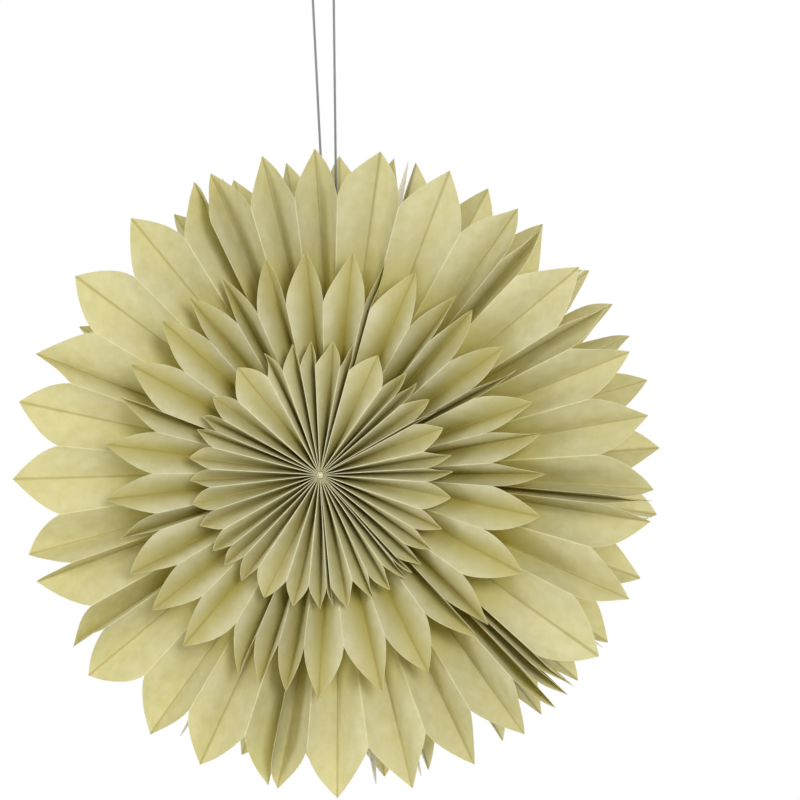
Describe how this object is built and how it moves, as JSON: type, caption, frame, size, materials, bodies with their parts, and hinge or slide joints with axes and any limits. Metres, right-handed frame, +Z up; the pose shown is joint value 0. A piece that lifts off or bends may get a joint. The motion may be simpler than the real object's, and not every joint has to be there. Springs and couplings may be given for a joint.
{
  "type": "paper star",
  "caption": "Round two-sided hanging star of nested pleated paper rosettes with pointed leaves, stiff card leaves on edge between its halves, and a looped cord.",
  "frame": {"origin": "centre of the star, on its axis and half way through its depth", "axes": "+Z up as it hangs, -Y out of the front face along the star's axis, +X to the right seen from the front"},
  "size_m": [0.4997, 0.165, 0.6289],
  "materials": {
    "star_paper": "matte",
    "stiff_card": "matte",
    "tie_cord": "matte",
    "cord": "matte"
  },
  "bodies": {
    "root": {"front_small_rosette": "star_paper", "front_medium_rosette": "star_paper", "front_large_rosette": "star_paper", "rear_large_rosette": "star_paper", "rear_medium_rosette": "star_paper", "rear_small_rosette": "star_paper", "card_leaf_01": "stiff_card", "card_leaf_02": "stiff_card", "card_leaf_03": "stiff_card", "card_leaf_04": "stiff_card", "card_leaf_05": "stiff_card", "card_leaf_06": "stiff_card", "card_leaf_07": "stiff_card", "card_leaf_08": "stiff_card", "card_leaf_09": "stiff_card", "card_leaf_10": "stiff_card", "centre_tie": "tie_cord", "cord_knot": "cord", "hanging_cord": "cord"}
  },
  "joints": []
}
